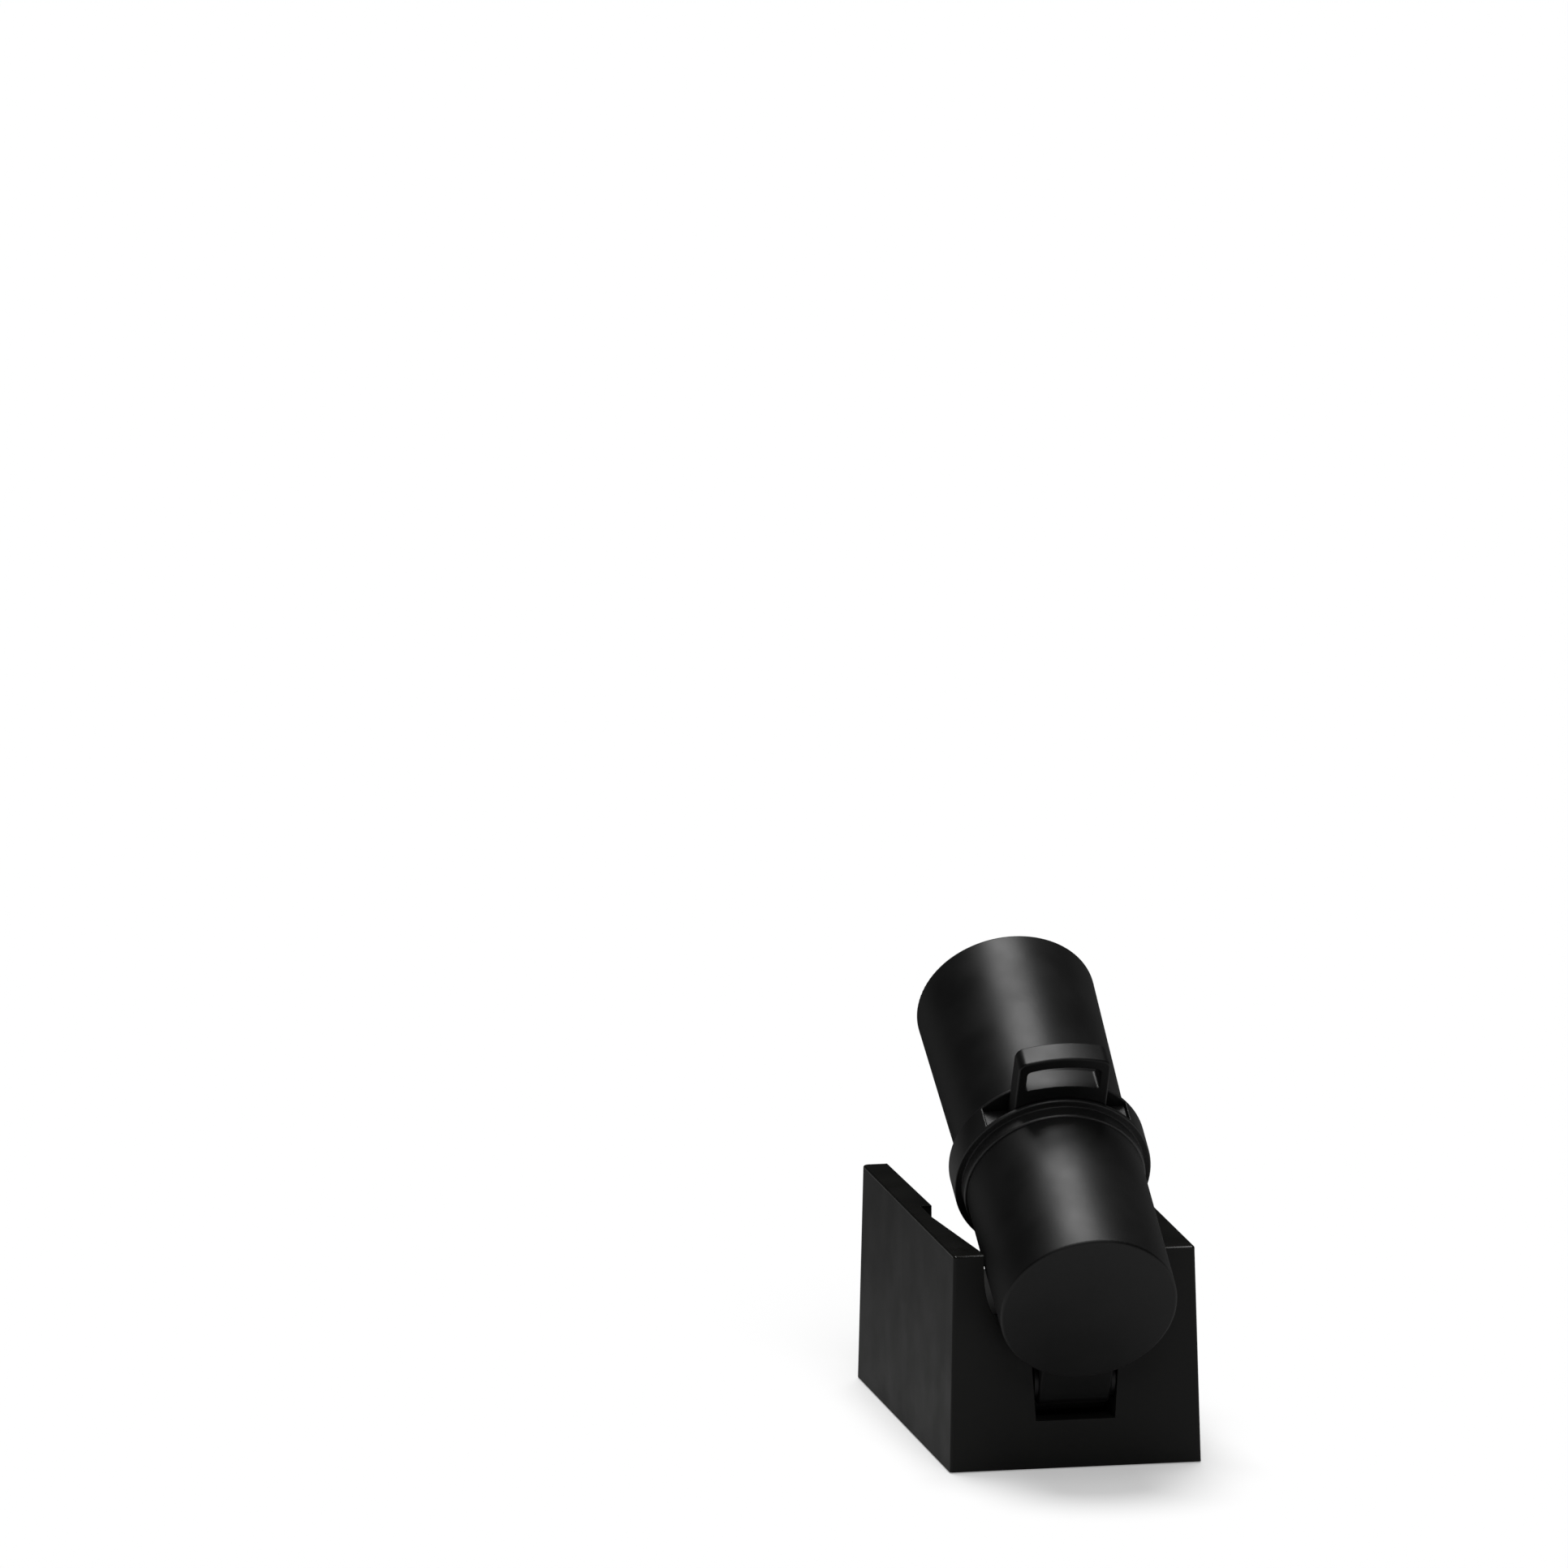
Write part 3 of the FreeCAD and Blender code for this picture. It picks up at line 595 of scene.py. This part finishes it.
def foil_wrap():
    """Creased foil, with tape over its front end."""
    finish = new_finish("cell_wrap", foil_colour, foil_roughness, metallic=foil_metal)
    tree = finish.node_tree
    tape_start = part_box("battery_cell")[1].y - tape_width
    taped = outcome(tree, "GREATER_THAN", place_along(tree, "Y"), tape_start)
    roughness = ranged(tree, spots(tree, foil_crease, fine_detail), foil_roughness - foil_dulling,
                       foil_roughness + foil_dulling)
    feed(shader_of(finish), {"Base Color": tinted(tree, taped, foil_colour, tape_colour),
                             "Roughness": roughness})
    add_grain(finish, foil_crease, foil_crease_depth, fine_detail, foil_stretch)
    return finish


dress("battery_cell", foil_wrap())

# The cover and its screws
# A flat black moulding that closes the cradle from below, with a coarser texture that stands up to
# sliding about. Four pan-headed screws draw it up into the bosses.
cover_colour = (0.006, 0.006, 0.0055)
cover_roughness = 0.7
cover_shine = 0.3
cover_grain = 0.0006
cover_grain_depth = 0.00003

textured_plastic = black_moulding("cover_plastic", cover_colour, cover_roughness, cover_shine)
add_grain(textured_plastic, cover_grain, cover_grain_depth, smooth_detail)
dress("base_cover", textured_plastic)
dress("cover_screws", zinc_plate)

# The hinge pin and its washers
# A ground steel pin pressed into the cradle's hinge block, through two slippery black acetal washers
# that take up the play beside the lug.
pin_colour = (0.5, 0.5, 0.5)
pin_tone = 0.08
pin_roughness = 0.2
pin_dulling = 0.07
pin_grain = 0.0004
grinding_lines = (12, 1, 1)
washer_colour = (0.004, 0.004, 0.004)
washer_roughness = 0.5
washer_shine = 0.3


def ground_steel():
    """Bright steel with the fine lines that the grinding left round it."""
    finish = new_finish("pin_steel", pin_colour, pin_roughness, metallic=1)
    lines = spots(finish.node_tree, pin_grain, stretch=grinding_lines)
    varied(finish, lines, pin_colour, pin_tone, pin_roughness, pin_dulling)
    add_relief(finish, lines, eroded_depth)
    return finish


dress("hinge_pin", ground_steel())
dress("hinge_washers", black_moulding("washer_plastic", washer_colour, washer_roughness, washer_shine))

# The rear shell of the head
# A deep black cup with its hinge lug in one moulding. Its round wall is smoother than the cradle,
# so that the softbox runs along it as one soft stripe.
head_colour = (0.0030, 0.0030, 0.0030)
head_roughness = 0.4
head_shine = 0.22
head_dullness = 1.0
sideways_limit = 0.07


def joint_line(joint_name):
    """The line that a joint slides along."""
    return Vector(next(joint["axis"] for joint in frame["joints"] if joint["name"] == joint_name))


def reach_along(node_name, direction):
    """How far a node reaches, lowest and highest, along a direction."""
    places = [point.co.dot(direction) for point in nodes[node_name].data.vertices]
    return min(places), max(places)


lens_line = joint_line("barrel_focus")
lift_line = joint_line("slide_pull")
right_line = Vector((1, 0, 0))
barrel_low, barrel_high = reach_along("focus_barrel", lift_line)
lens_line_place = lift_line * (barrel_low + barrel_high) / 2


def vector_outcome(tree, operation, *inputs, output="Vector"):
    """What a sum makes of vectors or of other nodes' outputs."""
    sum_node = add_node(tree, "ShaderNodeVectorMath", dict(enumerate(inputs)), operation=operation)
    return sum_node.outputs[output]


def make_turned_skin():
    """A group of nodes that shades what is turned about the lens line as truly round, with no seam."""
    group = bpy.data.node_groups.new("turned_skin", "GeometryNodeTree")
    for way in ("INPUT", "OUTPUT"):
        group.interface.new_socket(name="Geometry", in_out=way, socket_type="NodeSocketGeometry")
    place = new_output(group, "GeometryNodeInputPosition", "Position")
    normal = new_output(group, "GeometryNodeInputNormal", "Normal")
    outwards = vector_outcome(group, "SUBTRACT", place, lens_line_place)
    around = vector_outcome(group, "CROSS_PRODUCT", lens_line, outwards)
    sideways = vector_outcome(group, "NORMALIZE", around)
    slant = vector_outcome(group, "DOT_PRODUCT", normal, sideways, output="Value")
    turned = outcome(group, "LESS_THAN", outcome(group, "ABSOLUTE", slant), sideways_limit)
    facet_slant = outcome(group, "MULTIPLY", slant, turned)
    astray = add_node(group, "ShaderNodeVectorMath", {0: sideways, "Scale": facet_slant}, operation="SCALE")
    straightened = vector_outcome(group, "SUBTRACT", normal, astray.outputs["Vector"])
    true_normal = vector_outcome(group, "NORMALIZE", straightened)
    shape = new_output(group, "NodeGroupInput", "Geometry")
    shading = add_node(group, "GeometryNodeSetMeshNormal", {}, mode="FREE", domain="CORNER")
    feed(shading, {"Mesh": shape, "Custom Normal": true_normal})
    feed(group.nodes.new("NodeGroupOutput"), {"Geometry": shading.outputs["Mesh"]})
    return group


turned_skin = make_turned_skin()


def true_up(*node_names):
    """Shades the turned faces of nodes of the head as truly round."""
    for node_name in node_names:
        nodes[node_name].modifiers.new("turned_skin", "NODES").node_group = turned_skin


dress("rear_shell", black_moulding("head_plastic", head_colour, head_roughness, head_shine,
                                   dullness=head_dullness))
true_up("rear_shell")

# The light source
# A finned aluminium block, turned and sawn, fits the bottom of the cup. A white lacquered board with
# one yellow emitter is screwed to it.
sink_colour = (0.78, 0.79, 0.8)
sink_tone = 0.07
sink_roughness = 0.32
sink_dulling = 0.08
sink_grain = 0.0005
sink_depth = 0.00001
lacquer_colour = (0.86, 0.86, 0.84)
lacquer_tone = 0.03
lacquer_roughness = 0.35
lacquer_dulling = 0.05
lacquer_grain = 0.0012
resin_colour = (0.93, 0.74, 0.16)
resin_tone = 0.06
resin_roughness = 0.18
resin_dulling = 0.05
resin_grain = 0.0002
resin_coat = 0.6

turned_aluminium = spotted_finish("sink_aluminium", sink_colour, sink_tone, sink_roughness,
                                  sink_dulling, sink_grain, metallic=1)
add_grain(turned_aluminium, sink_grain, sink_depth, stretch=lathe_lines)
white_lacquer = spotted_finish("led_laminate", lacquer_colour, lacquer_tone, lacquer_roughness,
                               lacquer_dulling, lacquer_grain)
add_grain(white_lacquer, lacquer_grain, eroded_depth)
yellow_resin = spotted_finish("emitter_resin", resin_colour, resin_tone, resin_roughness, resin_dulling,
                              resin_grain)
feed(shader_of(yellow_resin), {"Coat Weight": resin_coat})
dress("heat_sink", turned_aluminium)
dress("led_board", white_lacquer)
dress("led_screws", zinc_plate)
dress("led_emitter", yellow_resin)

# The light sleeve and the condenser
# A white tube that throws the emitter's light forward, and the first lens, pressed from clear glass
# and held between the sleeve and the collar. The glass has a coating that reflects a little violet.
sleeve_colour = (0.84, 0.84, 0.82)
sleeve_tone = 0.03
sleeve_roughness = 0.5
sleeve_dulling = 0.06
glass_colour = (0.97, 0.985, 0.98)
glass_tone = 0.015
glass_roughness = 0.02
glass_dulling = 0.012
glass_index = 1.517
glass_coating = (0.15, 0.12, 0.29, 1)
glass_dust = 0.0015

white_plastic = spotted_finish("sleeve_plastic", sleeve_colour, sleeve_tone, sleeve_roughness,
                               sleeve_dulling, tool_wave)
add_grain(white_plastic, eroded_grain, eroded_depth)
coated_glass = spotted_finish("lens_glass", glass_colour, glass_tone, glass_roughness, glass_dulling,
                              glass_dust)
feed(shader_of(coated_glass), {"Transmission Weight": 1, "IOR": glass_index, "Specular Tint": glass_coating})
dress("light_sleeve", white_plastic)
dress("condenser_lens", coated_glass)
true_up("light_sleeve", "condenser_lens")

# The collar and its friction ring
# The collar is one round moulding: a spigot into the cup, a step, two thin flanges with the slide's
# slot between them, and the guide tube. A greased rubber ring in its groove brakes the barrel.
collar_colour = (0.0030, 0.0030, 0.0030)
collar_roughness = 0.4
collar_shine = 0.42
collar_edge = 0.0003
rubber_colour = (0.008, 0.008, 0.008)
rubber_tone = 0.2
rubber_roughness = 0.42
rubber_dulling = 0.14

greased_rubber = spotted_finish("ring_rubber", rubber_colour, rubber_tone, rubber_roughness,
                                rubber_dulling, smear_size)
add_grain(greased_rubber, eroded_grain, eroded_depth)
dress("collar_frame", black_moulding("collar_plastic", collar_colour, collar_roughness, collar_shine,
                                     collar_edge))
dress("friction_ring", greased_rubber)
true_up("collar_frame", "friction_ring")

# The picture slide
# A black frame that drops into the collar's slot and is drawn out by its looped handle, which is arched
# like the collar. A round of printed amber film lies in its seat under a snapped-in ring.
slide_colour = (0.0015, 0.0015, 0.0015)
slide_roughness = 0.38
slide_shine = 0.22
arch_step = 0.0008
arch_start = 0.0166
arch_end = 0.0196
weld_reach = 0.000003
ring_colour = (0.004, 0.004, 0.004)
ring_roughness = 0.6
ring_shine = 0.25
film_dark = (0.62, 0.3, 0.05)
film_light = (0.93, 0.74, 0.33)
film_roughness = 0.18
film_dulling = 0.1
film_clear = 0.55
film_blotch = 0.004
film_blotch_detail = 9.0


def printed_film():
    """Clear film with a plain print of mottled amber, which is duller where there is more of it."""
    finish = new_finish("film_sheet", film_light, film_roughness)
    tree = finish.node_tree
    blotches = spots(tree, film_blotch, film_blotch_detail)
    roughness = ranged(tree, blotches, film_roughness, film_roughness + film_dulling)
    feed(shader_of(finish), {"Transmission Weight": film_clear, "Roughness": roughness,
                             "Base Color": tinted(tree, blotches, film_dark, film_light)})
    return finish


def slide_strips():
    """The slide's frame, without the shading it came with, welded and cut into strips across its width."""
    straight = nodes["slide_holder"].data.copy()
    straight.attributes.remove(straight.attributes["custom_normal"])
    shape = bmesh.new()
    shape.from_mesh(straight)
    bpy.data.meshes.remove(straight)
    bmesh.ops.remove_doubles(shape, verts=shape.verts, dist=weld_reach)
    strips = math.ceil(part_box("slide_holder")[1].x / arch_step)
    for number in range(1 - strips, strips):
        everything = shape.verts[:] + shape.edges[:] + shape.faces[:]
        bmesh.ops.bisect_plane(shape, geom=everything, plane_co=right_line * arch_step * number,
                               plane_no=right_line)
    bmesh.ops.dissolve_degenerate(shape, edges=shape.edges, dist=weld_reach)
    return shape


def arched_slide():
    """The slide's frame with its handle bent to an arch round the lens line."""
    shape = slide_strips()
    for point in shape.verts:
        above_line = (point.co - lens_line_place).dot(lift_line)
        share = min(max((above_line - arch_start) / (arch_end - arch_start), 0), 1)
        if share:
            arched = math.sqrt(above_line ** 2 - point.co.x ** 2)
            point.co += lift_line * share * (arched - above_line)
    return shape


ring_plastic = black_moulding("lens_ring_plastic", ring_colour, ring_roughness, ring_shine)
slide_plastic = black_moulding("slide_plastic", slide_colour, slide_roughness, slide_shine,
                               dullness=head_dullness)
slide_frame = show_piece("slide_frame", arched_slide(), slide_plastic, "slide")
slide_frame.modifiers.new("flat_faces", "WEIGHTED_NORMAL").keep_sharp = True
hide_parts("slide_holder")
dress("picture_film", printed_film())
dress("film_ring", ring_plastic)

# The focusing barrel and its lenses
# A black tube, a little wider at its mouth, that slides on the guide tube. Two lenses with a spacer
# between them are screwed up against its web by a slotted ring, and fine grooves dull its mouth.
barrel_colour = (0.0030, 0.0030, 0.0030)
barrel_roughness = 0.4
barrel_shine = 0.22
ring_segments = 96
spanner_slots = 2
spanner_slot_width = 0.0022
spanner_slot_depth = 0.0007
spanner_corner = 0.00001
ring_wall = 0.0013
ring_play = 0.0001
ring_chamfer = 0.0004
groove_count = 12
groove_depth = 0.0004
groove_seat = 0.00002
groove_from_ring = 0.0004
groove_from_mouth = 0.0009

ring_start, ring_end = reach_along("lens_ring", lens_line)
ring_low, ring_high = reach_along("lens_ring", lift_line)
ring_outer = (ring_high - ring_low) / 2
ring_inner = ring_outer - ring_wall
bore_radius = ring_outer + ring_play
barrel_mouth = reach_along("focus_barrel", lens_line)[1]


def turned_shape(outlines, angles):
    """A closed ring swept round the lens line: one closed outline of (along, radius) for each angle."""
    shape = bmesh.new()
    rows = []
    for outline, angle in zip(outlines, angles):
        outward = right_line * math.cos(angle) + lift_line * math.sin(angle)
        rows.append([shape.verts.new(lens_line_place + lens_line * along + outward * radius)
                     for along, radius in outline])
    for row, after in zip(rows, rows[1:] + rows[:1]):
        for corner in range(len(row)):
            following = (corner + 1) % len(row)
            shape.faces.new((row[corner], row[following], after[following], after[corner]))
    return shape


def ring_outline(end, slope):
    """The lens ring's outline up to its end, with its chamfer drawn back along the line by slope."""
    return [(ring_start, ring_outer), (end, ring_outer), (end, ring_inner + ring_chamfer),
            (end - slope, ring_inner), (ring_start, ring_inner)]


def slotted_ring():
    """The lens ring, chamfered inside, with slots in its front for a spanner."""
    full = ring_outline(ring_end, ring_chamfer)
    cut = ring_outline(ring_end - spanner_slot_depth, ring_chamfer / 2)
    half_slot = spanner_slot_width / 2 / ring_outer
    corner = spanner_corner / ring_outer
    span = 2 * math.pi / spanner_slots
    plain = ring_segments // spanner_slots
    stations = []
    for slot_number in range(spanner_slots):
        middle = slot_number * span
        stations += [(middle - half_slot, cut), (middle, cut), (middle + half_slot, cut)]
        first = middle + half_slot + corner
        last = middle + span - half_slot - corner
        stations += [(first + (last - first) * step / plain, full) for step in range(plain + 1)]
    angles, outlines = zip(*stations)
    return turned_shape(outlines, angles)


def mouth_grooves():
    """Fine ridges with sharp crests that fill the bore between the lens ring and the mouth."""
    start = ring_end + groove_from_ring
    pitch = (barrel_mouth - groove_from_mouth - start) / groove_count
    outline = [(start, bore_radius + groove_seat)]
    for number in range(groove_count):
        foot = start + pitch * number
        outline += [(foot, bore_radius - groove_seat), (foot + pitch / 2, bore_radius - groove_depth)]
    end = start + pitch * groove_count
    outline += [(end, bore_radius - groove_seat), (end, bore_radius + groove_seat)]
    angles = [2 * math.pi * step / ring_segments for step in range(ring_segments)]
    return turned_shape([outline] * ring_segments, angles)


dress("focus_barrel", black_moulding("barrel_plastic", barrel_colour, barrel_roughness, barrel_shine,
                                     dullness=head_dullness))
dress("rear_lens", coated_glass)
dress("lens_spacer", ring_plastic)
dress("front_lens", coated_glass)
true_up("focus_barrel", "rear_lens", "lens_spacer", "front_lens")
spanner_ring = show_piece("spanner_ring", slotted_ring(), ring_plastic, "barrel")
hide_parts("lens_ring")
show_piece("mouth_ridges", mouth_grooves(), ring_plastic, "barrel")
